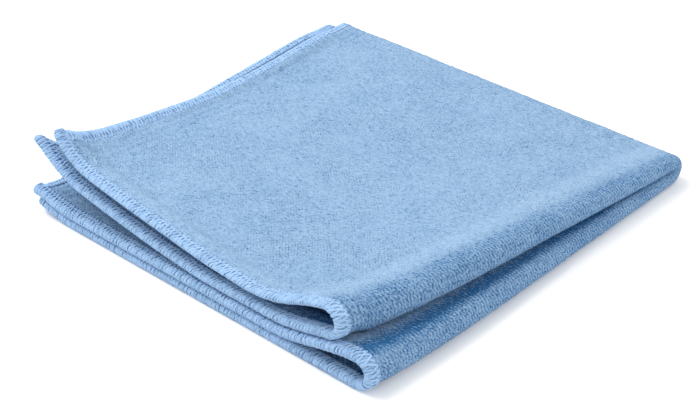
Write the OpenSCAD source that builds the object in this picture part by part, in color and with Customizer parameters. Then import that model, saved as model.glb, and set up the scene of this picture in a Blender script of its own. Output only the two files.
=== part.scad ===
// Microfibre terry polishing cloth with an overlocked hem, folded in half twice.
// The first fold runs along Y on the +X side, the second along X on the +Y side.
// Seen from the front (-Y), four hemmed layers lie on each other; the first fold is
// puffed open there, and the free corner (-X, -Y) curls up.
// Each layer is a height field over the same plan. A height is that of the middle of the cloth.

/* [Cloth] */
// Side of the unfolded square cloth, mm
cloth_side = 400; // [380:2:420]
// Thickness of the terry knit
cloth_t = 3; // [2.6:0.1:3.2]
// Width of the overlocked hem
hem_w = 5; // [4:0.5:6]
// Thickness of the overlocked hem where the layers have room for it
hem_t = 4; // [3.4:0.1:4.2]

/* [Stack] */
// Clear space between two layers that are pressed together
layer_space = 0.6; // [0.5:0.1:1]
// Extra opening of the lower first fold at the front
lower_loop_rise = 8.4; // [6:0.2:9]
// Extra opening of the upper first fold at the front
upper_loop_rise = 8.4; // [6:0.2:9]
// How far the upper two layers lift off the lower two at the free corner
corner_lift = 17; // [10:1:19]

/* [Colours] */
// Colour of the terry knit
terry_colour = "#A3C4E8";
// Colour of the hem thread
hem_colour = "#B0CCF2";

/* [Hidden] */

half = cloth_side / 4;              // half the side of the folded stack
pitch = cloth_t + layer_space;      // from the middle of one pressed layer to the next
inner_r = pitch / 2;                // second fold, middle of the two inner layers
outer_r = 1.5 * pitch;              // second fold, middle of the two outer layers
middle_r = pitch;                   // second fold, between the two sheets of each pair
fold_y = half - outer_r - cloth_t / 2;
fold_z = outer_r + cloth_t / 2;
span = fold_y + half;
hem_t_folded = cloth_t + 0.2;       // the hem is pressed thinner at the second fold
hem_bevel = 0.2;                    // share of the hem's width that is bevelled at each side
// The stack is moved by this much, so that its box is centred on the origin
shift = [2.5, -0.3, 0];

// Each layer's hem, from the bottom layer to the top one: Y of the front edge
front_y = [-half + 0.5, -half + 0.6, -half + 2, -half + 2.7];
// X of the side edge at the free corner and at the second fold
side_x_front = [-half - 1, -half - 4, -half, -half + 12];
side_x_fold = [-half + 2, -half - 3, -half - 4, -half + 5];

// Axis of the first folds at the back; how far each stands back along its length, and more near the front
loop_end_x = half - 4.3;
lower_back = [16, 5];
upper_back = [28, 10];
back_power = 8;
// Where each first fold starts to open, and how wide the rise is
lower_ramp = [0.32 * half, 0.46 * half];
upper_ramp = [0.18 * half, 0.38 * half];
// Room for the hem beside it: the second layer clears a hem that stands on the floor, the others one hem each
hem_room = [0, 1.2, 0.7, 0.7];
hem_room_w = 6;
// Hems reach their full thickness in this share of the span, from the second fold
hem_grow = 1 / 8;
// Free space in front between the second and the third layer, and under the top one, which bulges
front_space = 0.4;
front_space_grow = 1 / 2;
top_space = 0.8;
top_bulge = 4.4;
bulge_near = 70;
bulge_far = 150;
bulge_grow = 2 / 3;
// Curls of the free corner as [height, reach, power]
bottom_curl = [4.5, 22, 2];
third_curl = [corner_lift, 100, 1.4];
third_tip_curl = [0.55 * corner_lift, 28, 2];
top_curl = [9, 36, 2];
// The top layer's side edge turns up beside the corner: height, reach from the side and from the front
top_side_curl = [4.5, 20, 85];

cells_x = 18;
cells_y = 12;
cells_arc = 8;

function mix(a, b, share) = a + (b - a) * share;
function clamp01(v) = min(max(v, 0), 1);
function smooth(v) = let (c = clamp01(v)) c * c * (3 - 2 * c);

// 0 at the second fold and 1 at the front edge
function front_share(y) = clamp01((fold_y - y) / span);
function corner_distance(x, y) = norm([max(x + half, 0), max(y + half, 0)]);
function curl(x, y, c) = c[0] * pow(max(0, 1 - corner_distance(x, y) / c[1]), c[2]);
function side_curl(x, y, c) =
    c[0] * pow(clamp01(1 - (x - side_x(3, y)) / c[1]), 2) * smooth(1 - (half + y) / c[2]);
function ramp(x, limits) = smooth((x - limits[0]) / limits[1]);
function hem_growth(y) = smooth(front_share(y) / hem_grow);
// 1 at a hemmed edge and 0 beyond the room that a hem needs
function beside_edge(distance) = smooth((hem_w + hem_room_w - distance) / hem_room_w + 1);
function near_hem(x, y) = max(beside_edge(half + y), beside_edge(half + x)) * hem_growth(y);
function bulge(x, y) =
    top_space + top_bulge * smooth((bulge_far - corner_distance(x, y)) / (bulge_far - bulge_near));

function height_bottom(x, y) = cloth_t / 2 + curl(x, y, bottom_curl);
function height_second(x, y) =
    height_bottom(x, y) + pitch + hem_room[1] * near_hem(x, y)
    + lower_loop_rise * ramp(x, lower_ramp) * front_share(y);
function height_third(x, y) =
    height_second(x, y) + pitch + hem_room[2] * near_hem(x, y)
    + front_space * smooth(front_share(y) / front_space_grow)
    + curl(x, y, third_curl) + curl(x, y, third_tip_curl);
function height_top(x, y) =
    height_third(x, y) + pitch + hem_room[3] * near_hem(x, y)
    + upper_loop_rise * ramp(x, upper_ramp) * front_share(y)
    + bulge(x, y) * smooth(front_share(y) / bulge_grow) * (1 - ramp(x, upper_ramp))
    + curl(x, y, top_curl) + side_curl(x, y, top_side_curl);
function height(layer, x, y) =
    layer == 0 ? height_bottom(x, y) :
    layer == 1 ? height_second(x, y) :
    layer == 2 ? height_third(x, y) : height_top(x, y);

// First fold of a pair of layers: pair 0 is the lower one, pair 1 the upper one
function lower_layer(pair) = 2 * pair;
function loop_x(pair, y) =
    let (back = pair == 0 ? lower_back : upper_back, s = front_share(y))
    loop_end_x - back[0] * s - back[1] * pow(s, back_power);
function loop_low(pair, y) = height(lower_layer(pair), loop_x(pair, y), y);
function loop_high(pair, y) = height(lower_layer(pair) + 1, loop_x(pair, y), y);
function loop_half_height(pair, y) = (loop_high(pair, y) - loop_low(pair, y)) / 2;
function loop_z(pair, y) = (loop_high(pair, y) + loop_low(pair, y)) / 2;
function side_x(layer, y) = mix(side_x_fold[layer], side_x_front[layer], front_share(y));
function hem_thick(y) = mix(hem_t_folded, hem_t, hem_growth(y));

// Middle of the cloth, moved by n at right angles to it: on a layer, round a first fold, round the second fold
function on_layer(layer, x, y, n) = [x, y, height(layer, x, y) + n];
function on_loop(pair, angle, y, n) =
    let (r = loop_half_height(pair, y) + n)
    [loop_x(pair, y) + r * cos(angle), y, loop_z(pair, y) + r * sin(angle)];
function on_second_fold(x, angle, r) = [x, fold_y + r * cos(angle), fold_z + r * sin(angle)];

function share(i, count) = i / count;
function arc_angle(i) = mix(-90, 90, share(i, cells_arc));
function layer_x(layer, i, y) =
    mix(side_x(layer, y) + hem_w, loop_x(floor(layer / 2), y), share(i, cells_x));
function loop_front_y(pair, angle) =
    mix(front_y[lower_layer(pair)], front_y[lower_layer(pair) + 1], (sin(angle) + 1) / 2);
function fold_side_x(layers, angle) =
    mix(side_x_fold[layers[0]], side_x_fold[layers[1]], (sin(angle) + 1) / 2);

// Section of the hem as [distance in from the edge, offset from the middle of the cloth]
function hem_section(thick) =
    let (near = hem_bevel * hem_w, far = hem_w - near)
    [[hem_w, cloth_t / 2], [far, thick / 2], [near, thick / 2], [0, thick / 4],
     [0, -thick / 4], [near, -thick / 2], [far, -thick / 2], [hem_w, -cloth_t / 2]];
// The hem of the bottom layer is lifted so that it stands on the floor
function hem_lift(layer, y) = layer == 0 ? (hem_thick(y) - cloth_t) / 2 : 0;

function joined(lists) = [for (l = lists) each l];

// Closed solid between two equal grids of points
module slab(upper, lower) {
    rows = len(upper);
    cols = len(upper[0]);
    function at(i, j) = i * cols + j;
    below = rows * cols;
    cells = [for (i = [0 : rows - 2], j = [0 : cols - 2]) [i, j]];
    rim = concat([for (j = [0 : cols - 2]) [at(0, j), at(0, j + 1)]],
                 [for (i = [0 : rows - 2]) [at(i, cols - 1), at(i + 1, cols - 1)]],
                 [for (j = [cols - 1 : -1 : 1]) [at(rows - 1, j), at(rows - 1, j - 1)]],
                 [for (i = [rows - 1 : -1 : 1]) [at(i, 0), at(i - 1, 0)]]);
    faces = concat(
        [for (c = cells) [at(c[0], c[1]), at(c[0] + 1, c[1] + 1), at(c[0], c[1] + 1)]],
        [for (c = cells) [at(c[0], c[1]), at(c[0] + 1, c[1]), at(c[0] + 1, c[1] + 1)]],
        [for (c = cells) [below + at(c[0], c[1]), below + at(c[0], c[1] + 1),
                          below + at(c[0] + 1, c[1] + 1)]],
        [for (c = cells) [below + at(c[0], c[1]), below + at(c[0] + 1, c[1] + 1),
                          below + at(c[0] + 1, c[1])]],
        [for (e = rim) [e[0], e[1], below + e[0]]],
        [for (e = rim) [e[1], below + e[1], below + e[0]]]);
    translate(shift)
        polyhedron(concat(joined(upper), joined(lower)), faces, convexity = 6);
}

// Closed solid through a row of equal closed sections
module swept(sections) {
    count = len(sections);
    size = len(sections[0]);
    last = (count - 1) * size;
    sides = [for (i = [0 : count - 2], k = [0 : size - 1]) [i * size + k, i * size + (k + 1) % size]];
    faces = concat(
        [for (s = sides) [s[0], s[1] + size, s[1]]],
        [for (s = sides) [s[0], s[0] + size, s[1] + size]],
        [[for (k = [0 : size - 1]) k]],
        [[for (k = [size - 1 : -1 : 0]) last + k]]);
    translate(shift)
        polyhedron(joined(sections), faces, convexity = 6);
}

module panel(layer) {
    start = front_y[layer] + hem_w;
    function face(n) =
        [for (i = [0 : cells_x])
            [for (j = [0 : cells_y])
                let (y = mix(start, fold_y, share(j, cells_y)))
                on_layer(layer, layer_x(layer, i, y), y, n)]];
    color(terry_colour) slab(face(-cloth_t / 2), face(cloth_t / 2));
}

module first_fold(pair) {
    function face(n) =
        [for (i = [0 : cells_arc])
            [for (j = [0 : cells_y])
                let (angle = arc_angle(i), start = loop_front_y(pair, angle) + hem_w)
                on_loop(pair, angle, mix(start, fold_y, share(j, cells_y)), n)]];
    color(terry_colour) slab(face(cloth_t / 2), face(-cloth_t / 2));
}

// layers: the lower and the upper layer that the fold joins
module second_fold(layers, r) {
    end_x = loop_x(0, fold_y);
    function face(n) =
        [for (i = [0 : cells_x])
            [for (j = [0 : cells_arc])
                let (angle = arc_angle(j))
                on_second_fold(mix(fold_side_x(layers, angle) + hem_w, end_x, share(i, cells_x)),
                               angle, r + n)]];
    color(terry_colour) slab(face(cloth_t / 2), face(-cloth_t / 2));
}

// Where the first fold itself is folded over, at the back corner
module second_fold_corner() {
    loop_r = loop_half_height(0, fold_y);
    function face(n) =
        [for (i = [0 : cells_arc])
            [for (j = [0 : cells_arc])
                let (turn = arc_angle(i))
                on_second_fold(loop_x(0, fold_y) + (loop_r + n) * cos(turn), arc_angle(j),
                               middle_r - (loop_r + n) * sin(turn))]];
    color(terry_colour) slab(face(cloth_t / 2), face(-cloth_t / 2));
}

module hem_front(layer) {
    start = front_y[layer];
    function section(i) =
        [for (p = hem_section(hem_thick(start)))
            let (y = start + p[0], x = i < 0 ? side_x(layer, y) : layer_x(layer, i, y))
            on_layer(layer, x, y, p[1] + hem_lift(layer, y))];
    color(hem_colour) swept([for (i = [-1 : cells_x]) section(i)]);
}

module hem_front_loop(pair) {
    function section(i) =
        [for (p = hem_section(hem_t))
            let (angle = arc_angle(i), y = loop_front_y(pair, angle) + p[0],
                 lift = hem_lift(lower_layer(pair), y) * (1 - sin(angle)) / 2)
            on_loop(pair, angle, y, -p[1]) + [0, 0, lift]];
    color(hem_colour) swept([for (i = [0 : cells_arc]) section(i)]);
}

module hem_side(layer) {
    start = front_y[layer] + hem_w;
    function section(j) =
        let (y = mix(start, fold_y, share(j, cells_y)))
        [for (p = hem_section(hem_thick(y)))
            on_layer(layer, side_x(layer, y) + p[0], y, p[1] + hem_lift(layer, y))];
    color(hem_colour) swept([for (j = [cells_y : -1 : 0]) section(j)]);
}

module hem_side_fold(layers, r) {
    function section(j) =
        let (angle = arc_angle(j), lift = hem_lift(layers[0], fold_y) * (1 - sin(angle)) / 2)
        [for (p = hem_section(hem_thick(fold_y)))
            on_second_fold(fold_side_x(layers, angle) + p[0], angle, r + p[1]) + [0, 0, lift]];
    color(hem_colour) swept([for (j = [0 : cells_arc]) section(j)]);
}

panel(0);  // panel_bottom
panel(1);  // panel_second
panel(2);  // panel_third
panel(3);  // panel_top
first_fold(0);  // first_fold_lower
first_fold(1);  // first_fold_upper
second_fold([0, 3], outer_r);  // second_fold_outer
second_fold([1, 2], inner_r);  // second_fold_inner
second_fold_corner();
hem_front(0);  // hem_front_bottom
hem_front(1);  // hem_front_second
hem_front(2);  // hem_front_third
hem_front(3);  // hem_front_top
hem_front_loop(0);  // hem_front_lower_loop
hem_front_loop(1);  // hem_front_upper_loop
hem_side(0);  // hem_side_bottom
hem_side(1);  // hem_side_second
hem_side(2);  // hem_side_third
hem_side(3);  // hem_side_top
hem_side_fold([0, 3], outer_r);  // hem_side_fold_outer
hem_side_fold([1, 2], inner_r);  // hem_side_fold_inner
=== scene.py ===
import math

import bpy
import numpy as np
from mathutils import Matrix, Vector


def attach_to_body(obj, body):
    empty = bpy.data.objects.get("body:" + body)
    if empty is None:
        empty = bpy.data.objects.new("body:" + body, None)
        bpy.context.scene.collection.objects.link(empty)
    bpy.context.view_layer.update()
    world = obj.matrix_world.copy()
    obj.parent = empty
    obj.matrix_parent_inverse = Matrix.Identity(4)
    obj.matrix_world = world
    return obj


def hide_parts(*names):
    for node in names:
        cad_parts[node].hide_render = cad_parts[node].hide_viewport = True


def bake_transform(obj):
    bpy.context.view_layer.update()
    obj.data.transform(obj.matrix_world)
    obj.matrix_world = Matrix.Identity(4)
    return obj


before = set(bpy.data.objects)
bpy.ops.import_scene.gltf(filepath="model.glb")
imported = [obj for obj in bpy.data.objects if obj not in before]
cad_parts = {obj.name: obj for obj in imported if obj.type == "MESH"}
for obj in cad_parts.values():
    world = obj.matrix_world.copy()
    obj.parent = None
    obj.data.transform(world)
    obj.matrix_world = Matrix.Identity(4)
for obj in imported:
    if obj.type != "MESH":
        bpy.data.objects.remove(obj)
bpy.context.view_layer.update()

# All lengths are in millimetres until a mesh is made
MM = 0.001

# ---- The cloth, as the frame's design has it ----
HALF = 100.0                # half the side of the folded stack
CLOTH_T = 3.0
HEM_W = 5.0
HEM_T = 4.0
LAYER_SPACE = 0.6
LOWER_RISE = 8.4
UPPER_RISE = 8.4
CORNER_LIFT = 17.0

PITCH = CLOTH_T + LAYER_SPACE
INNER_R = PITCH / 2
OUTER_R = 1.5 * PITCH
MIDDLE_R = PITCH
FOLD_Y = HALF - OUTER_R - CLOTH_T / 2
FOLD_Z = OUTER_R + CLOTH_T / 2
SPAN = FOLD_Y + HALF
HEM_T_FOLDED = CLOTH_T + 0.2
SHIFT = np.array([2.5, -0.3, 0.0])

# Layers from the bottom one (0) to the top one (3)
FRONT_Y = (-HALF + 0.5, -HALF + 0.6, -HALF + 2, -HALF + 2.7)
SIDE_X_FRONT = (-HALF - 1, -HALF - 4, -HALF, -HALF + 12)
SIDE_X_FOLD = (-HALF + 2, -HALF - 3, -HALF - 4, -HALF + 5)
LOOP_END_X = HALF - 4.3
LOOP_BACK = ((16, 5), (28, 10))
BACK_POWER = 8
LOWER_RAMP = (0.32 * HALF, 0.46 * HALF)
UPPER_RAMP = (0.18 * HALF, 0.38 * HALF)
HEM_ROOM = (0, 1.2, 0.7, 0.7)
HEM_ROOM_W = 6.0
HEM_GROW = 1 / 8
FRONT_SPACE = 0.4
FRONT_SPACE_GROW = 1 / 2
TOP_SPACE = 0.8
TOP_BULGE = 4.4
BULGE_NEAR = 70.0
BULGE_FAR = 150.0
BULGE_GROW = 2 / 3
BOTTOM_CURL = (4.5, 22, 2)
THIRD_CURL = (CORNER_LIFT, 100, 1.4)
THIRD_TIP_CURL = (0.55 * CORNER_LIFT, 28, 2)
TOP_CURL = (9, 36, 2)
TOP_SIDE_CURL = (4.5, 20, 85)
DIMPLE_DEPTH = 0.55
DIMPLE_LOW = ((-80, 40), (-85, 40))     # where the dimples start in x and in y, and how far they grow over
DIMPLE_HIGH = ((75, 40), (85, 30))      # and where they end
DIMPLE_LONG = (17, 29)                  # lengths of the first wave and of its sway
DIMPLE_SHORT = (21, 33)                 # and of the second
DIMPLE_SWAY = (1.3, 0.8)

# ---- Detail that only the visual model has ----
PILE_PITCH = 1.55           # from one loop of the pile to the next, along the second fold's way
PILE_CELLS = 4              # mesh cells for each loop of the pile
PILE_ROW = 0.975            # from one row of the pile to the next, across
PANEL_CELLS = round((2 * HALF - HEM_W) / PILE_ROW)
ROW_CELLS = PILE_CELLS * round((SPAN - HEM_W) / PILE_PITCH)
LOOP_CELLS = 40
LOOP_STEP = 0.45            # a cell of a first fold's roll shorter than this has flatter pile
LOOP_POWER = 1.5            # how fast the pile flattens there
TURN_CELLS = 12 * PILE_CELLS + 1    # odd, so no row of points lies on the line where the second fold opens
PILE_RELIEF = 0.19          # height of the loops
PILE_STRENGTH = (0.75, 0.3, 0.3, 1.2)   # of the loops: mean, scatter, least and most
PILE_WANDER = 0.10          # how far the columns of loops wander, as a share of the pitch
PILE_ROUGH = 0.10           # scatter of single points
PILE_CLUMP = 0.05           # unevenness over a few loops
PILE_PATCH = 0.06           # unevenness over about a finger's width
STRENGTH_CELLS = (16, 40)   # mesh cells over which each of these changes, across and along
WANDER_CELLS = (5, 14)
CLUMP_CELLS = (3, 7)
PATCH_CELLS = (18, 44)
LOOP_PAINTED_SHADE = 0.85           # how much paler the top of a loop is than its valleys: painted shade between the loops
SHADE_SPECKLE = 0.42        # scatter of single points in shade
SHADE_CLUMP = 0.06
SHADE_PATCH = 0.05
RIB_ROW = 2.1               # from one row to the next on the rolls of the first folds
RIB_RELIEF = 0.15
RIB_EVEN = 0.65             # the share of a rib's height that stays the same from row to row
RIB_SWAY = 0.13             # how far the ribs sway from row to row, as a share of the pitch
ROLL_PAINTED_SHADE = 0.80           # painted shade: how much darker the roll of a first fold is
POCKET_PAINTED_SHADE = 1.8          # and painted shade inside a roll, where the fold's opening lies in shadow
ROLL_FADE = 7.0
POCKET_REACH = 45.0
CREASE_PAINTED_SHADE = 1.2          # and painted shade where two rolls lie on each other
CREASE_START = 0.8          # as a share of the way round the roll
CREASE_GROW = 4.0
CREASE_HOLD = 1.3
CREASE_REACH = 14.0
CREST_PLACE = 11.0          # the band beside the roll of a first fold, with flatter loops and a painted highlight
CREST_WIDTH = 5.0
CREST_FLAT = 0.45           # how much flatter its loops are
CREST_PAINTED_HIGHLIGHT = 0.45          # and how much paler it is painted: a painted highlight
PUCKERS = (3.4, 7.0, 10.6)  # rows drawn together beside the side hem
PUCKER_WIDTH = 1.1
PUCKER_DEPTH = 0.28
# painted shade in the puckers' valleys
PUCKER_PAINTED_SHADE = 0.45
PUCKER_STRENGTH = (0.6, 0.35, 0, 1)
PUCKER_CELLS = (60, 60)
SEAM_GROOVE = 0.3           # how deep the needle seam is drawn in
SEAM_GROOVE_W = 1.3
UV_APART = 0.5              # metres of material between the two faces of the cloth
WRAP_PITCH = 1.7            # from one stitch of the hem to the next
HEM_THICK = (3.9, 3.7, 3.5, 2.3)
RUN_POINTS = 400            # places along a hem on each layer
RUN_TURN_POINTS = 90        # and where it turns from one layer to the next
OUTLINE_POINTS = 15         # places round the hem's section
OUTLINE_FLAT = 0.36         # the share of the section that lies flat on each face
SEAM_LAP = 0.3              # how far the section reaches past the seam
# Each set of looper threads: its place in the pitch, half width, half height, lift off the core and slant.
# The first two leave the edge together and cross on the faces.
LOOPERS = ((0.0, 0.48, 0.28, 0.02, 1.0), (0.0, 0.48, 0.28, 0.0, -1.0), (0.5, 0.40, 0.24, -0.20, 0.0))
STITCH_WOBBLE = 0.10        # scatter of a whole stitch along the hem, as a share of the pitch
THREAD_WOBBLE = 0.05        # and of each of its points
LIFT_SCATTER = 0.04
SIZE_SCATTER = 0.12
THREAD_TAPER = (0.35, 4)    # how much thinner a thread is at its ends, and the power that it follows
THREAD_SHADE = (0.5, 0.25)  # mean and scatter
TUBE_SIDES = 6
TUBE_UV = 8                 # millimetres of material along a tube
NEEDLE_PHASE = 0.25         # the needle's stitch: its place in the pitch
NEEDLE_POINTS = 6
NEEDLE_REACH = 0.36         # half its length, as a share of the pitch
NEEDLE_PLACE = HEM_W + 0.55
NEEDLE_RISE = (0.80, 0.45, 4)       # its height, how much its ends dip, and the power that they follow
NEEDLE_SIZE = (0.30, 0.26)  # half width and half height
NEEDLE_ROOM = (0.4, 1.6)    # left free at the two ends of a run
CORE_INSET = 0.28           # how far the knit's edge lies inside the stitches
CORE_CELLS = 4              # mesh cells for each stitch
CORE_LEAST = 8              # and the fewest in a run
CORE_RIB = 0.05
CORE_PAINTED_SHADE = -0.2           # painted shade of the knit seen inside the stitches
BEND_CORE_PAINTED_SHADE = 0.1       # and less painted shade where a fold spreads them
BEND_CORE_FADE = (2.4, 3)
CORNER_ROUND = 4.5          # power of the curve that rounds the corners of the hem
CORNER_LIMIT = 0.97         # how far round that curve the hem goes
FLOOR_GAP = 0.05
FRAME_STEP = 2e-3           # of the station and the way, when a normal is measured
TINY = 1e-12
SEED = 7


def mix(a, b, share):
    return a + (b - a) * share


def smooth(v):
    c = np.clip(v, 0, 1)
    return c * c * (3 - 2 * c)


def front_share(y):
    """0 at the second fold and 1 at the front edge."""
    return np.clip((FOLD_Y - y) / SPAN, 0, 1)


def corner_distance(x, y):
    return np.hypot(np.maximum(x + HALF, 0), np.maximum(y + HALF, 0))


def curl(x, y, shape):
    height, reach, power = shape
    return height * np.maximum(0, 1 - corner_distance(x, y) / reach) ** power


def side_curl(x, y, shape):
    height, from_side, from_front = shape
    beside = np.clip(1 - (x - side_x(3, y)) / from_side, 0, 1) ** 2
    return height * beside * smooth(1 - (HALF + y) / from_front)


def ramp(x, limits):
    return smooth((x - limits[0]) / limits[1])


def hem_growth(y):
    return smooth(front_share(y) / HEM_GROW)


def beside_edge(distance):
    return smooth((HEM_W + HEM_ROOM_W - distance) / HEM_ROOM_W + 1)


def near_hem(x, y):
    return np.maximum(beside_edge(HALF + y), beside_edge(HALF + x)) * hem_growth(y)


def bulge(x, y):
    reach = (BULGE_FAR - corner_distance(x, y)) / (BULGE_FAR - BULGE_NEAR)
    return TOP_SPACE + TOP_BULGE * smooth(reach)


def dimples(x, y):
    """Shallow unevenness of the top layer, gone at its edges."""
    inside = 1
    for place, (low, grow), (high, fade) in zip((x, y), DIMPLE_LOW, DIMPLE_HIGH):
        inside = inside * smooth((place - low) / grow) * smooth((high - place) / fade)
    first = np.sin(x / DIMPLE_LONG[0] + DIMPLE_SWAY[0] * np.sin(y / DIMPLE_LONG[1]))
    second = np.sin(y / DIMPLE_SHORT[0] + DIMPLE_SWAY[1] * np.sin(x / DIMPLE_SHORT[1]))
    return DIMPLE_DEPTH * inside * (first * second)


def height_bottom(x, y):
    return CLOTH_T / 2 + curl(x, y, BOTTOM_CURL)


def height_second(x, y):
    rise = LOWER_RISE * ramp(x, LOWER_RAMP) * front_share(y)
    return height_bottom(x, y) + PITCH + HEM_ROOM[1] * near_hem(x, y) + rise


def height_third(x, y):
    space = FRONT_SPACE * smooth(front_share(y) / FRONT_SPACE_GROW)
    lift = curl(x, y, THIRD_CURL) + curl(x, y, THIRD_TIP_CURL)
    return height_second(x, y) + PITCH + HEM_ROOM[2] * near_hem(x, y) + space + lift


def height_top(x, y):
    rise = UPPER_RISE * ramp(x, UPPER_RAMP) * front_share(y)
    open_share = smooth(front_share(y) / BULGE_GROW) * (1 - ramp(x, UPPER_RAMP))
    return (height_third(x, y) + PITCH + HEM_ROOM[3] * near_hem(x, y) + rise + bulge(x, y) * open_share
            + curl(x, y, TOP_CURL) + side_curl(x, y, TOP_SIDE_CURL) + dimples(x, y))


HEIGHT = (height_bottom, height_second, height_third, height_top)


def loop_x(pair, y):
    share = front_share(y)
    return LOOP_END_X - LOOP_BACK[pair][0] * share - LOOP_BACK[pair][1] * share ** BACK_POWER


def side_x(layer, y):
    return mix(SIDE_X_FOLD[layer], SIDE_X_FRONT[layer], front_share(y))


def fold_side_x(layers, turn):
    return mix(SIDE_X_FOLD[layers[0]], SIDE_X_FOLD[layers[1]], (np.sin(turn) + 1) / 2)


# ---- The cloth as one sheet ----
# Across the first folds a station runs from 0 to 1 on the first layer, to 2 round the loop and to 3 on the
# second layer.
# Pair 0 is the lower half and pair 1 the upper. The outer layers (0 and 3) come first.
FIRST_LAYER = (0, 3)
SECOND_LAYER = (1, 2)


def loop_angle(pair, station):
    turn = np.pi * (np.clip(station, 1, 2) - 1.5)
    return turn if pair == 0 else -turn


def front_edge(pair, station):
    """Y of the front edge at a station."""
    lower, upper = 2 * pair, 2 * pair + 1
    return mix(FRONT_Y[lower], FRONT_Y[upper], (np.sin(loop_angle(pair, station)) + 1) / 2)


def half_point(pair, station, y):
    """Middle of the cloth at a station of a half, at a distance y from the front to the second fold."""
    end = loop_x(pair, y)
    first, second = FIRST_LAYER[pair], SECOND_LAYER[pair]
    x_first = mix(side_x(first, y) + HEM_W, end, np.minimum(station, 1))
    x_second = mix(end, side_x(second, y) + HEM_W, np.maximum(station, 2) - 2)
    low = HEIGHT[2 * pair](end, y)
    high = HEIGHT[2 * pair + 1](end, y)
    radius = (high - low) / 2
    angle = loop_angle(pair, station)
    on_first, on_second = station <= 1, station >= 2
    x = np.where(on_first, x_first, np.where(on_second, x_second, end + radius * np.cos(angle)))
    z_loop = (high + low) / 2 + radius * np.sin(angle)
    z_second = np.where(on_second, HEIGHT[second](x_second, y), z_loop)
    z = np.where(on_first, HEIGHT[first](x_first, y), z_second)
    return np.stack(np.broadcast_arrays(x, y, z), -1)


def turn_point(station, turn):
    """Middle of the cloth at a station round the second fold; turn goes from -pi/2 below to pi/2 above."""
    end = LOOP_END_X
    x_first = mix(fold_side_x((0, 3), turn) + HEM_W, end, np.minimum(station, 1))
    x_second = mix(end, fold_side_x((1, 2), turn) + HEM_W, np.maximum(station, 2) - 2)
    angle = loop_angle(0, station)
    on_first, on_second = station <= 1, station >= 2
    x = np.where(on_first, x_first, np.where(on_second, x_second, end + INNER_R * np.cos(angle)))
    radius = np.where(on_first, OUTER_R, np.where(on_second, INNER_R, MIDDLE_R - INNER_R * np.sin(angle)))
    y, z = FOLD_Y + radius * np.cos(turn), FOLD_Z + radius * np.sin(turn)
    return np.stack(np.broadcast_arrays(x, y, z), -1)


def sheet_point(station, way):
    """Middle of the cloth. way runs from 0 at the lower half's front edge to 1 at the second fold,
    to 2 round it and to 3 at the upper half's front edge."""
    y_low = mix(front_edge(0, station) + HEM_W, FOLD_Y, np.minimum(way, 1))
    y_high = mix(FOLD_Y, front_edge(1, station) + HEM_W, np.maximum(way, 2) - 2)
    turn = np.pi * (np.clip(way, 1, 2) - 1.5)
    lower, upper = (way <= 1)[..., None], (way >= 2)[..., None]
    return np.where(lower, half_point(0, station, y_low),
                    np.where(upper, half_point(1, station, y_high), turn_point(station, turn)))


def unit(v):
    return v / np.maximum(np.linalg.norm(v, axis=-1, keepdims=True), TINY)


def sheet_frame(station, way):
    """Point and normal of the middle of the cloth. The normal points to the inside of the first folds."""
    point = sheet_point(station, way)
    along = sheet_point(station + FRAME_STEP, way) - sheet_point(station - FRAME_STEP, way)
    across = sheet_point(station, way + FRAME_STEP) - sheet_point(station, way - FRAME_STEP)
    return point, unit(np.cross(along, across))


# ---- Terry ----
def patches(shape, size, rng):
    """Random field with a spread of 1 that changes over about size cells each way."""
    field = rng.normal(0, 1, [count // cells + 2 for count, cells in zip(shape, size)])
    for axis, (count, cells) in enumerate(zip(shape, size)):
        place = np.arange(count) / cells
        low = place.astype(int)
        share = smooth(place - low)
        share = share[:, None] if axis == 0 else share
        field = mix(np.take(field, low, axis), np.take(field, low + 1, axis), share)
    return field / field.std()


def cumulative(points, axis):
    steps = np.linalg.norm(np.diff(points, axis=axis), axis=-1)
    start = np.zeros_like(np.take(steps, [0], axis))
    return np.concatenate([start, np.cumsum(steps, axis)], axis)


def strength_field(shape, cells, strength, rng):
    """A random field given as its mean, its scatter and its two limits."""
    mean, spread, least, most = strength
    return np.clip(mean + spread * patches(shape, cells, rng), least, most)


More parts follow.
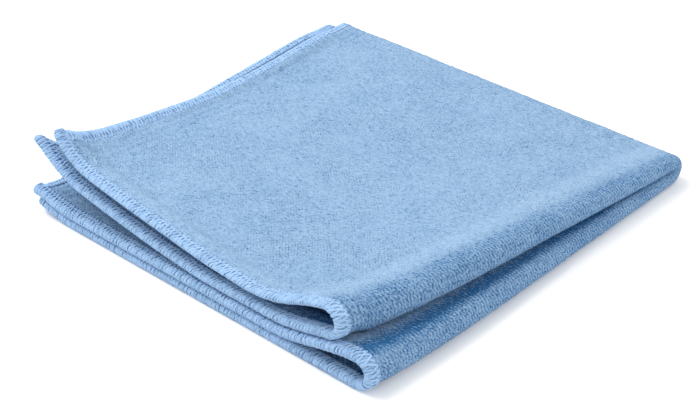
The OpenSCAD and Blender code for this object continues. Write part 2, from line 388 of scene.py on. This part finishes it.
def pile(station, across, room, inside, rng):
    """Height of the pile over the whole sheet, and its shade: random tone, with painted shade in the loops'
    valleys, on and inside the rolls, in the creases and puckers, and a painted highlight beside the rolls;
    about -1 in the depth and 1 at the top.
    room is how much of the pile stands up, which is less where the mesh is drawn together by a fold."""
    shape = station.shape
    column = np.arange(shape[1]) / PILE_CELLS
    row = np.arange(shape[0])[:, None]
    wander = PILE_WANDER * patches(shape, WANDER_CELLS, rng)
    staggered = np.cos(2 * np.pi * (column + wander) + np.pi * row)
    from_roll = across - across[PANEL_CELLS]
    rib_turn = 2 * np.pi * from_roll / RIB_ROW
    sway = RIB_SWAY * np.sin(rib_turn)
    ribs = np.cos(2 * np.pi * (column + wander + sway)) * (RIB_EVEN + (1 - RIB_EVEN) * np.cos(rib_turn))
    roll = across[PANEL_CELLS + LOOP_CELLS] - across[PANEL_CELLS]
    from_middle = np.abs(from_roll - roll / 2)
    on_roll = smooth((roll / 2 + ROLL_FADE - from_middle) / ROLL_FADE)
    crest = np.exp(-((from_roll + CREST_PLACE) / CREST_WIDTH) ** 2)
    strength = strength_field(shape, STRENGTH_CELLS, PILE_STRENGTH, rng) * (1 - CREST_FLAT * crest)
    loops = mix(PILE_RELIEF * staggered * strength, RIB_RELIEF * ribs, on_roll)
    clump = patches(shape, CLUMP_CELLS, rng)
    patch = patches(shape, PATCH_CELLS, rng)
    side = np.minimum(across, across[-1:] - across)
    pucker = sum(np.exp(-((side - place) / PUCKER_WIDTH) ** 2) for place in PUCKERS)
    pucker = pucker * strength_field(shape, PUCKER_CELLS, PUCKER_STRENGTH, rng)
    rough = loops + PILE_ROUGH * rng.normal(0, 1, shape) + PILE_CLUMP * clump
    height = room * rough + PILE_PATCH * patch - PUCKER_DEPTH * pucker
    # Painted shade inside the rolls, on them and in the creases where they lie on each other
    pocket = smooth((roll / 2 + POCKET_REACH - from_middle) / POCKET_REACH)
    past_turn = from_roll - CREASE_START * roll
    crease = smooth(past_turn / CREASE_GROW) * smooth(CREASE_HOLD - past_turn / CREASE_REACH)
    painted_shade = POCKET_PAINTED_SHADE * pocket if inside else ROLL_PAINTED_SHADE * on_roll + CREASE_PAINTED_SHADE * crease
    # Painted shade in the loops' valleys and the puckers and a painted highlight on the crest; speckle,
    # clump and patch are random tone
    shade = (loops / PILE_RELIEF * LOOP_PAINTED_SHADE + SHADE_SPECKLE * rng.normal(0, 1, shape) + SHADE_CLUMP * clump
             + SHADE_PATCH * patch + CREST_PAINTED_HIGHLIGHT * crest - PUCKER_PAINTED_SHADE * pucker - painted_shade)
    return height, shade


def make_sheet():
    """The whole terry sheet as grids: station across the first folds by way across the second."""
    share_panel = np.arange(PANEL_CELLS + 1) / PANEL_CELLS
    share_loop = 1 + np.arange(1, LOOP_CELLS) / LOOP_CELLS
    stations = np.concatenate([share_panel, share_loop, 2 + share_panel])
    share_row = np.arange(ROW_CELLS + 1) / ROW_CELLS
    share_turn = 1 + np.arange(1, TURN_CELLS) / TURN_CELLS
    ways = np.concatenate([share_row, share_turn, 2 + share_row])
    station, way = np.meshgrid(stations, ways, indexing="ij")
    middle = sheet_point(station, way)
    normal = unit(np.cross(np.gradient(middle, axis=0), np.gradient(middle, axis=1)))
    across = cumulative(middle, 0)
    along = cumulative(middle, 1)
    edge = np.minimum.reduce([across, across[-1:] - across, along, along[:, -1:] - along])
    groove = SEAM_GROOVE * (1 - smooth(edge / SEAM_GROOVE_W))
    step_across = np.gradient(across, axis=0) / LOOP_STEP
    step_along = np.gradient(along, axis=1) * PILE_CELLS / PILE_PITCH
    room = np.clip(np.minimum(step_across, step_along), 0, 1) ** LOOP_POWER
    rng = np.random.default_rng(SEED)
    sides = {}
    for name, sign in (("inner", 1), ("outer", -1)):
        height, shade = pile(station, across, room, sign > 0, rng)
        face = middle + (sign * (CLOTH_T / 2 - groove + height))[..., None] * normal
        face[..., 2] = np.maximum(face[..., 2], FLOOR_GAP)
        face_normal = sign * unit(np.cross(np.gradient(face, axis=0), np.gradient(face, axis=1)))
        sides[name] = (face, face_normal, shade)
    return stations, ways, sides, across, along


def link(obj):
    bpy.context.scene.collection.objects.link(obj)
    return obj


def new_object(name, vertices, faces, uv, material, normals=None, shade=None):
    """A smooth mesh object from points in millimetres, quads and one UV per vertex, in metres of cloth.
    shade says how light each vertex is, from random tone and painted shade: about -1 in the depth and 1 at
    the top."""
    mesh = bpy.data.meshes.new(name)
    mesh.vertices.add(len(vertices))
    mesh.vertices.foreach_set("co", ((vertices + SHIFT) * MM).astype(np.float32).ravel())
    mesh.loops.add(faces.size)
    mesh.loops.foreach_set("vertex_index", faces.astype(np.int32).ravel())
    mesh.polygons.add(len(faces))
    mesh.polygons.foreach_set("loop_start", np.arange(0, faces.size, faces.shape[1], dtype=np.int32))
    mesh.polygons.foreach_set("use_smooth", np.ones(len(faces), bool))
    layer = mesh.uv_layers.new(name="cloth")
    layer.data.foreach_set("uv", uv[faces.ravel()].astype(np.float32).ravel())
    if shade is not None:
        mesh.attributes.new("shade", "FLOAT", "POINT").data.foreach_set("value", shade.astype(np.float32))
    mesh.update(calc_edges=True)
    mesh.validate()
    if normals is not None:
        mesh.normals_split_custom_set_from_vertices(normals.astype(np.float32))
    mesh.materials.append(material)
    return link(bpy.data.objects.new(name, mesh))


def grid_faces(rows, columns, flip=False):
    index = np.arange(rows * columns).reshape(rows, columns)
    faces = np.stack([index[:-1, :-1], index[1:, :-1], index[1:, 1:], index[:-1, 1:]], -1).reshape(-1, 4)
    return faces[:, ::-1] if flip else faces


def rim_faces(rows, columns):
    """Quads between two equal grids, round their edge; the second grid's points follow the first's."""
    index = np.arange(rows * columns).reshape(rows, columns)
    loop = np.concatenate([index[:-1, 0], index[-1, :-1], index[:0:-1, -1], index[0, :0:-1]])
    after = np.roll(loop, -1)
    below = rows * columns
    return np.stack([after, loop, loop + below, after + below], -1)


def terry_piece(name, sheet, station_range, way_range, bends, material):
    """One piece of the sheet. One that bends keeps no stored normals, so that they follow its bent shape."""
    stations, ways, sides, across, along = sheet
    pick_u = np.flatnonzero((stations >= station_range[0]) & (stations <= station_range[1]))
    pick_v = np.flatnonzero((ways >= way_range[0]) & (ways <= way_range[1]))
    rows, columns = len(pick_u), len(pick_v)
    part = np.ix_(pick_u, pick_v)
    points, normals, shades = ([grid[part] for grid in both] for both in zip(sides["inner"], sides["outer"]))
    vertices = np.concatenate(points).reshape(-1, 3)
    normals = None if bends else np.concatenate(normals).reshape(-1, 3)
    shade = np.concatenate(shades).ravel()
    uv = np.stack([across[part], along[part]], -1).reshape(-1, 2) * MM
    shifted = uv + np.array([UV_APART, 0.0])
    outer = grid_faces(rows, columns, flip=True) + rows * columns
    faces = np.concatenate([grid_faces(rows, columns), outer, rim_faces(rows, columns)])
    return new_object(name, vertices, faces, np.concatenate([uv, shifted]), material, normals, shade)


# ---- Hem ----
# A run is the list of its places and a function: at a place along the hem and a distance e in from the edge,
# it gives the middle of the cloth, its normal, the hem's thickness and how far it is the bottom layer's.
# A place runs from 0 to 1 on the run's first layer, to 2 round the turn and to 3 on its second.
def run_path(extra=0.0):
    """Places along a run, with extra past both of its ends."""
    return np.concatenate([np.linspace(-extra, 1, RUN_POINTS), np.linspace(1, 2, RUN_TURN_POINTS)[1:],
                           np.linspace(2, 3 + extra, RUN_POINTS)[1:]])


def hem_thickness(first, second, param, fold=None):
    """Thickness along a run from one layer to another; fold is the thickness where the cloth turns over."""
    thick = mix(HEM_THICK[first], HEM_THICK[second], smooth(param - 1))
    if fold is None:
        return thick
    y = mix(-HALF, FOLD_Y, np.minimum(param, 3 - param))
    return mix(fold, thick, hem_growth(y))


def bottom_share(param):
    """1 on the bottom layer, and less where the run turns up from it."""
    return (1 - np.sin(loop_angle(0, param))) / 2


def front_run(pair):
    """The hem along the front edge of a half."""
    extra = HEM_W / (2 * HALF - HEM_W)
    row_length = SPAN - HEM_W

    def place(param, e):
        past_corner = np.clip(np.maximum(-param, param - 3) / extra, 0, CORNER_LIMIT)
        back = (e - HEM_W) / row_length * (1 - past_corner ** CORNER_ROUND) ** (1 / CORNER_ROUND)
        way = back if pair == 0 else 3 - back
        point, normal = sheet_frame(param, way)
        thick = hem_thickness(FIRST_LAYER[pair], SECOND_LAYER[pair], param)
        return point, normal, thick, bottom_share(param) if pair == 0 else 0
    return run_path(extra), place


def side_run(outer):
    """The hem along a side: outer joins the bottom and the top layer, the other the two between them."""
    length = 2 * HALF - HEM_W
    first, second = (0, 3) if outer else (1, 2)

    def place(param, e):
        inward = (e - HEM_W) / length
        station = inward if outer else 3 - inward
        point, normal = sheet_frame(station + 0 * param, param)
        thick = hem_thickness(first, second, param, HEM_T_FOLDED)
        return point, normal, thick, bottom_share(param) if outer else 0
    return run_path(), place


def hem_surface(place, param, e, n):
    """n is a share of half the hem's thickness. The bottom layer's hem is lifted, to stand on the floor."""
    point, normal, thick, low_share = place(param, e)
    lift = low_share * (thick - CLOTH_T) / 2
    surface = point + (n * thick / 2)[..., None] * normal
    surface[..., 2] = np.maximum(surface[..., 2] + lift, FLOOR_GAP)
    return surface


def hem_outline(inset=0.0):
    """Section of the hem, from the seam on one face round the edge to the other's: e, and n as a share."""
    share = np.linspace(0, 1, OUTLINE_POINTS)
    radius = HEM_T / 2
    angle = np.pi * np.clip((share - OUTLINE_FLAT) / (1 - 2 * OUTLINE_FLAT), 0, 1)
    e_round = radius * (1 - np.sin(angle))
    to_seam = np.clip(1 - share / OUTLINE_FLAT, 0, 1) + np.clip((share - 1) / OUTLINE_FLAT + 1, 0, 1)
    e = mix(e_round, HEM_W + SEAM_LAP, to_seam)
    return e + inset * (1 - to_seam), np.cos(angle) * (1 - inset / radius)


def tubes(paths, outward, half_width, half_height):
    """Closed flat tubes along several paths at once: vertices, quads and UVs. The ends take six sides."""
    sides = TUBE_SIDES
    count, length, _ = paths.shape
    tangent = unit(np.gradient(paths, axis=1))
    side = unit(np.cross(tangent, outward))
    up = unit(np.cross(side, tangent))
    angle = 2 * np.pi * np.arange(sides) / sides
    ring = (half_width * np.cos(angle)[:, None] * side[..., None, :]
            + half_height[..., None, None] * np.sin(angle)[:, None] * up[..., None, :])
    vertices = (paths[:, :, None, :] + ring).reshape(-1, 3)
    index = np.arange(count * length * sides).reshape(count, length, sides)
    after = np.roll(index, -1, 2)
    walls = np.stack([index[:, :-1], after[:, :-1], after[:, 1:], index[:, 1:]], -1).reshape(-1, 4)
    first, last = index[:, 0], index[:, -1]
    caps = np.concatenate([np.stack([first[:, 0], first[:, 3], first[:, 2], first[:, 1]], -1),
                           np.stack([first[:, 0], first[:, 5], first[:, 4], first[:, 3]], -1),
                           np.stack([last[:, 0], last[:, 1], last[:, 2], last[:, 3]], -1),
                           np.stack([last[:, 0], last[:, 3], last[:, 4], last[:, 5]], -1)])
    along = np.broadcast_to(np.linspace(0, 1, length)[None, :, None] * TUBE_UV, index.shape)
    around = np.broadcast_to(np.arange(sides)[None, None, :] / sides, index.shape)
    return vertices, np.concatenate([walls, caps]), np.stack([along, around], -1).reshape(-1, 2) * MM


def joined(parts):
    """Several (vertices, faces, uv) as one."""
    starts = np.cumsum([0] + [len(part[0]) for part in parts[:-1]])
    return (np.concatenate([part[0] for part in parts]),
            np.concatenate([part[1] + start for part, start in zip(parts, starts)]),
            np.concatenate([part[2] for part in parts]))


def arc_table(run):
    """The places along a run, and the arc length at each."""
    path, place = run
    middle = hem_surface(place, path, np.full_like(path, HEM_W / 2), np.zeros_like(path))
    return path, cumulative(middle, 0)


def hem_core(run, low, high):
    """The knit's own edge inside the stitches, between two places of the run."""
    place = run[1]
    table, arc = arc_table(run)
    start, end = np.interp([low, high], table, arc)
    count = max(int((end - start) / (WRAP_PITCH / CORE_CELLS)), CORE_LEAST)
    s = np.linspace(start, end, count)
    param = np.interp(s, arc, table)
    e, n = hem_outline(CORE_INSET)
    ribs = 1 + CORE_RIB * np.cos(2 * np.pi * s / WRAP_PITCH)[:, None]
    grid_param = np.broadcast_to(param[:, None], (count, len(e)))
    grid_e = np.broadcast_to(e[None, :], grid_param.shape)
    surface = hem_surface(place, grid_param, grid_e, n[None, :] * ribs)
    vertices = surface.reshape(-1, 3)
    index = np.arange(len(vertices)).reshape(count, len(e))
    after = np.roll(index, -1, 1)
    walls = np.stack([index[:-1], after[:-1], after[1:], index[1:]], -1).reshape(-1, 4)
    uv = np.stack(np.broadcast_arrays(s[:, None], e[None, :] * n[None, :]), -1).reshape(-1, 2) * MM
    caps = []
    for ring, order in ((index[0], 1), (index[-1], -1)):
        half = len(ring) // 2
        for k in range(half):
            quad = [ring[k], ring[k + 1], ring[-k - 2], ring[-k - 1]]
            caps.append(quad[::order])
    bend = smooth(BEND_CORE_FADE[0] - BEND_CORE_FADE[1] * np.abs(grid_param - 1.5)).ravel()
    return vertices, np.concatenate([walls, np.array(caps)]), uv, mix(CORE_PAINTED_SHADE, BEND_CORE_PAINTED_SHADE, bend)


def hem_wraps(run, low, high, rng):
    """Looper threads that wrap the edge, stitch by stitch, between two places of the run."""
    place = run[1]
    table, arc = arc_table(run)
    start, end = np.interp([low, high], table, arc)
    first, last = math.ceil(start / WRAP_PITCH), math.floor(end / WRAP_PITCH)
    e, n = hem_outline()
    across = np.linspace(-1, 1, OUTLINE_POINTS)
    taper = 1 - THREAD_TAPER[0] * np.abs(across) ** THREAD_TAPER[1]
    parts = []
    shades = []
    for offset, width, height, lift, slant in LOOPERS:
        s = (np.arange(first - 1, last + 1) + offset) * WRAP_PITCH
        s = s[(s >= start) & (s < end)]
        count = len(s)
        wobble = rng.normal(0, STITCH_WOBBLE, (count, 1))
        wobble = wobble + THREAD_WOBBLE * rng.normal(0, 1, (count, OUTLINE_POINTS))
        s_grid = s[:, None] + slant * WRAP_PITCH * np.abs(across)[None, :] + wobble * WRAP_PITCH
        s_grid = np.clip(s_grid, 0, arc[-1])
        param = np.interp(s_grid, arc, table)
        grid_e = np.broadcast_to(e[None, :], param.shape)
        n_share = n[None, :] * (1 + lift + rng.normal(0, LIFT_SCATTER, (count, 1)))
        paths = hem_surface(place, param, grid_e, n_share + 0 * param)
        centre = hem_surface(place, param, np.maximum(grid_e, HEM_T / 2), 0 * param)
        outward = unit(paths - centre)
        size = height * taper * (1 + rng.normal(0, SIZE_SCATTER, (count, 1)))
        parts.append(tubes(paths, outward, width, size))
        stitch_shade = THREAD_SHADE[0] + THREAD_SHADE[1] * rng.normal(0, 1, count)
        shades.append(np.repeat(stitch_shade, OUTLINE_POINTS * TUBE_SIDES))
    vertices, faces, uv = joined(parts)
    vertices[:, 2] = np.maximum(vertices[:, 2], FLOOR_GAP)
    return vertices, faces, uv, np.concatenate(shades)


def needle_stitches(run, low, high):
    """The needle thread along the seam, on both faces, between two places of the run."""
    place = run[1]
    table, arc = arc_table(run)
    start, end = np.interp([low, high], table, arc)
    first, last = math.ceil(start / WRAP_PITCH), math.floor(end / WRAP_PITCH)
    s = (np.arange(first, last + 1) + NEEDLE_PHASE) * WRAP_PITCH
    s = s[(s > start + NEEDLE_ROOM[0]) & (s < end - NEEDLE_ROOM[1])]
    share = np.linspace(-1, 1, NEEDLE_POINTS)
    s_grid = s[:, None] + NEEDLE_REACH * WRAP_PITCH * share[None, :]
    param = np.interp(s_grid, arc, table)
    e = np.full(param.shape, NEEDLE_PLACE)
    rise, dip, power = NEEDLE_RISE
    half_width, half_height = NEEDLE_SIZE
    parts = []
    for face in (1, -1):
        n = face * (rise - dip * share[None, :] ** power + 0 * param)
        paths = hem_surface(place, param, e, n)
        outward = unit(paths - hem_surface(place, param, e, 0 * param))
        parts.append(tubes(paths, outward, half_width, np.full(param.shape, half_height)))
    return joined(parts)


# ---- Materials ----
# The terry's deep colour shows mostly where shade is painted in
TERRY_DEEP = (0.020, 0.100, 0.240)
TERRY_MIDDLE = (0.210, 0.335, 0.500)
TERRY_LIGHT = (0.320, 0.455, 0.620)
THREAD_DEEP = (0.090, 0.205, 0.380)
THREAD_LIGHT = (0.330, 0.495, 0.720)
SHEEN_TINT = (0.50, 0.70, 1.0)
TERRY_SHEEN = 0.03
THREAD_SHEEN = 0.08
SHEEN_ROUGHNESS = 0.45
CLOTH_ROUGHNESS = 0.92
CLOTH_SPECULAR = 0.04

# Each noise: the size of its features in millimetres, its detail and its roughness
FIBRE = (0.42, 2.0, 0.6)
PATCH = (16, 4.0, 0.55)
FUZZ = (0.5, 3.0, 0.65)
TUFT_SIZE = 0.62
TUFT_RANDOM = 0.9
FIBRE_HEIGHT = 0.8
TUFT_HEIGHT = 0.7
# How much each of these shows in the terry's colour, and the shade where all of them are 0
LOOP_IN_COLOUR = 0.26
HEIGHT_IN_COLOUR = 0.60
PATCH_IN_COLOUR = 0.16
COLOUR_BASE = 0.40
TERRY_STOPS = (0.10, 0.50, 0.85)
FUZZ_IN_COLOUR = 0.80
STITCH_IN_COLOUR = 0.35
THREAD_STOPS = (0.15, 0.60)
BUMP_DISTANCE = 0.22        # millimetres
TERRY_BUMP = 0.55
THREAD_BUMP = 0.6
FLOOR_COLOUR = (0.93, 0.93, 0.93)
FLOOR_ROUGHNESS = 0.9


class Nodes:
    """Short calls for a material's nodes."""

    def __init__(self, name):
        self.material = bpy.data.materials.new(name)
        self.material.use_nodes = True
        self.tree = self.material.node_tree
        self.shader = self.tree.nodes["Principled BSDF"]

    def add(self, kind, inputs=(), **settings):
        node = self.tree.nodes.new(kind)
        for key, value in settings.items():
            setattr(node, key, value)
        for key, value in dict(inputs).items():
            self.put(node.inputs[key], value)
        return node

    def put(self, socket, value):
        if isinstance(value, bpy.types.NodeSocket):
            self.tree.links.new(value, socket)
        else:
            socket.default_value = value

    def math(self, operation, *values):
        node = self.tree.nodes.new("ShaderNodeMath")
        node.operation = operation
        for socket, value in zip(node.inputs, values):
            self.put(socket, value)
        return node.outputs[0]

    def ramp(self, factor, positions, colours):
        node = self.tree.nodes.new("ShaderNodeValToRGB")
        stops = node.color_ramp.elements
        while len(stops) < len(positions):
            stops.new(0.5)
        for stop, position, colour in zip(stops, positions, colours):
            stop.position = position
            stop.color = (*colour, 1)
        self.put(node.inputs[0], factor)
        return node.outputs[0]

    def noise(self, place, kind, dimensions):
        size, detail, roughness = kind
        inputs = {"Vector": place, "Scale": 1 / (size * MM), "Detail": detail, "Roughness": roughness}
        return self.add("ShaderNodeTexNoise", inputs, noise_dimensions=dimensions).outputs["Fac"]

    def attribute(self, name):
        return self.add("ShaderNodeAttribute", attribute_name=name).outputs["Fac"]

    def finish_cloth(self, colour, height, bump, sheen):
        """The shader of a cloth or a thread, with this colour and fine relief."""
        inputs = {"Height": height, "Strength": bump, "Distance": BUMP_DISTANCE * MM}
        relief = self.add("ShaderNodeBump", inputs)
        self.put(self.shader.inputs["Base Color"], colour)
        self.put(self.shader.inputs["Normal"], relief.outputs["Normal"])
        self.put(self.shader.inputs["Roughness"], CLOTH_ROUGHNESS)
        self.put(self.shader.inputs["Specular IOR Level"], CLOTH_SPECULAR)
        self.put(self.shader.inputs["Sheen Weight"], sheen)
        self.put(self.shader.inputs["Sheen Roughness"], SHEEN_ROUGHNESS)
        self.put(self.shader.inputs["Sheen Tint"], (*SHEEN_TINT, 1))
        return self.material


def terry_material():
    """Light blue pile with fine fibres, with painted shade between its loops, in the hollows of its tufts
    and in its folds.
    """
    nodes = Nodes("terry")
    uv = nodes.add("ShaderNodeUVMap", uv_map="cloth").outputs["UV"]
    pile_shade = nodes.attribute("shade")
    fibre = nodes.noise(uv, FIBRE, "2D")
    patch = nodes.noise(uv, PATCH, "2D")
    inputs = {"Vector": uv, "Scale": 1 / (TUFT_SIZE * MM), "Randomness": TUFT_RANDOM}
    tuft = nodes.add("ShaderNodeTexVoronoi", inputs, voronoi_dimensions="2D", feature="SMOOTH_F1")
    height = nodes.math("SUBTRACT", nodes.math("MULTIPLY", fibre, FIBRE_HEIGHT),
                        nodes.math("MULTIPLY", tuft.outputs["Distance"], TUFT_HEIGHT))
    shade = nodes.math("ADD", nodes.math("MULTIPLY", pile_shade, LOOP_IN_COLOUR),
                       nodes.math("MULTIPLY", height, HEIGHT_IN_COLOUR))
    shade = nodes.math("ADD", shade, nodes.math("MULTIPLY", patch, PATCH_IN_COLOUR))
    shade = nodes.math("ADD", shade, COLOUR_BASE)
    colour = nodes.ramp(shade, TERRY_STOPS, (TERRY_DEEP, TERRY_MIDDLE, TERRY_LIGHT))
    return nodes.finish_cloth(colour, height, TERRY_BUMP, TERRY_SHEEN)


def thread_material(name):
    """Textured polyester thread with a fine twist, with painted shade between the stitches."""
    nodes = Nodes(name)
    place = nodes.add("ShaderNodeTexCoord").outputs["Object"]
    fuzz = nodes.noise(place, FUZZ, "3D")
    shade = nodes.math("ADD", nodes.math("MULTIPLY", fuzz, FUZZ_IN_COLOUR),
                       nodes.math("MULTIPLY", nodes.attribute("shade"), STITCH_IN_COLOUR))
    colour = nodes.ramp(shade, THREAD_STOPS, (THREAD_DEEP, THREAD_LIGHT))
    return nodes.finish_cloth(colour, fuzz, THREAD_BUMP, THREAD_SHEEN)


# ---- Build ----
def attach(piece, body):
    """body is a body's name, or None for a piece that bends at the second fold."""
    if body:
        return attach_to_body(piece, body)
    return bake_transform(piece)


# Each piece of the sheet: its stations, its ways, its body and the CAD nodes that it stands for
TERRY = (("terry_bottom", (0, 1), (0, 1), "lower_half", ("panel_bottom",)),
         ("terry_lower_loop", (1, 2), (0, 1), "lower_half", ("first_fold_lower",)),
         ("terry_second", (2, 3), (0, 1), "lower_half", ("panel_second",)),
         ("terry_top", (0, 1), (2, 3), "upper_half", ("panel_top",)),
         ("terry_upper_loop", (1, 2), (2, 3), "upper_half", ("first_fold_upper",)),
         ("terry_third", (2, 3), (2, 3), "upper_half", ("panel_third",)),
         ("terry_second_fold", (0, 3), (1, 2), None,
          ("second_fold_outer", "second_fold_inner", "second_fold_corner")))

# Each piece of the hem: its run (a front one by its half, a side one by whether it is the outer one),
# its name, its places along the run, its body and its CAD node
HEMS = (("front", 0, "bottom", (-1, 1), "lower_half", "hem_front_bottom"),
        ("front", 0, "lower_loop", (1, 2), "lower_half", "hem_front_lower_loop"),
        ("front", 0, "second", (2, 4), "lower_half", "hem_front_second"),
        ("front", 1, "top", (-1, 1), "upper_half", "hem_front_top"),
        ("front", 1, "upper_loop", (1, 2), "upper_half", "hem_front_upper_loop"),
        ("front", 1, "third", (2, 4), "upper_half", "hem_front_third"),
        ("side", 1, "bottom", (0, 1), "lower_half", "hem_side_bottom"),
        ("side", 1, "fold_outer", (1, 2), None, "hem_side_fold_outer"),
        ("side", 1, "top", (2, 3), "upper_half", "hem_side_top"),
        ("side", 0, "second", (0, 1), "lower_half", "hem_side_second"),
        ("side", 0, "fold_inner", (1, 2), None, "hem_side_fold_inner"),
        ("side", 0, "third", (2, 3), "upper_half", "hem_side_third"))


def build_terry():
    sheet = make_sheet()
    material = terry_material()
    pieces = {}
    for name, station_range, way_range, body, nodes in TERRY:
        piece = terry_piece(name, sheet, station_range, way_range, body is None, material)
        attach(piece, body)
        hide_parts(*nodes)
        pieces[name] = piece
    return pieces


def build_hems():
    edge = thread_material("hem_thread")
    needle = thread_material("needle_thread")
    rng = np.random.default_rng(SEED + 1)
    pieces = {}
    seams = {"lower_half": [], "upper_half": [], None: []}
    runs = {("front", pair): front_run(pair) for pair in (0, 1)}
    runs.update({("side", outer): side_run(bool(outer)) for outer in (0, 1)})
    for kind, which, place, (low, high), body, node in HEMS:
        run = runs[kind, which]
        *core, core_shade = hem_core(run, low, high)
        *wraps, wrap_shade = hem_wraps(run, low, high, rng)
        shade = np.concatenate([core_shade, wrap_shade])
        piece = new_object(f"overlock_{kind}_{place}", *joined([core, wraps]), edge, shade=shade)
        attach(piece, body)
        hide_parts(node)
        pieces[piece.name] = piece
        seams[body].append(needle_stitches(run, low, high))
    for body, parts in seams.items():
        piece = new_object(f"needle_thread_{body or 'second_fold'}", *joined(parts), needle)
        attach(piece, body)
        pieces[piece.name] = piece
    return pieces


# ---- Floor, light and camera, in metres ----
FLOOR_SIZE = 6
WORLD_STRENGTH = 0.90
# Each lamp: its place, its size and its power in watts
LAMPS = {"key": ((-0.50, -0.20, 0.85), 0.7, 7.5),
         "fill": ((0.80, -0.10, 0.50), 0.6, 2.0)}
CAMERA_AZIMUTH = math.radians(40)
CAMERA_ELEVATION = math.radians(35.3)
CAMERA_DISTANCE = 0.625
CAMERA_TARGET = np.array([12.6, -23.5, 10]) * MM
CAMERA_SENSOR = 36          # millimetres
CAMERA_LENS = 76.7
CAMERA_CLIP = 0.01


def build_stage():
    bpy.ops.mesh.primitive_plane_add(size=FLOOR_SIZE, location=(0, 0, 0))
    floor = bpy.context.object
    floor.name = "floor"
    nodes = Nodes("floor")
    nodes.put(nodes.shader.inputs["Base Color"], (*FLOOR_COLOUR, 1))
    nodes.put(nodes.shader.inputs["Roughness"], FLOOR_ROUGHNESS)
    floor.data.materials.append(nodes.material)


def aim(obj, direction):
    obj.rotation_euler = Vector(direction).to_track_quat("-Z", "Y").to_euler()


def build_lamp(name, place, size, power):
    """A square soft light that points at the middle of the floor."""
    light = bpy.data.lights.new(name, "AREA")
    light.size = size
    light.energy = power
    lamp = link(bpy.data.objects.new(name, light))
    lamp.location = place
    aim(lamp, -np.array(place))


def build_light():
    world = bpy.data.worlds.new("studio")
    bpy.context.scene.world = world
    world.use_nodes = True
    background = world.node_tree.nodes["Background"]
    background.inputs["Color"].default_value = (1, 1, 1, 1)
    background.inputs["Strength"].default_value = WORLD_STRENGTH
    for name, (place, size, power) in LAMPS.items():
        build_lamp(name, place, size, power)
    bpy.context.scene.view_settings.view_transform = "Standard"


def build_camera():
    back = np.array([math.sin(CAMERA_AZIMUTH) * math.cos(CAMERA_ELEVATION),
                     -math.cos(CAMERA_AZIMUTH) * math.cos(CAMERA_ELEVATION), math.sin(CAMERA_ELEVATION)])
    data = bpy.data.cameras.new("camera")
    data.sensor_width = CAMERA_SENSOR
    data.lens = CAMERA_LENS
    data.clip_start = CAMERA_CLIP
    camera = link(bpy.data.objects.new("camera", data))
    camera.location = CAMERA_TARGET + CAMERA_DISTANCE * back
    aim(camera, -back)
    bpy.context.scene.camera = camera


build_camera()
build_light()
build_stage()
terry = build_terry()
hems = build_hems()
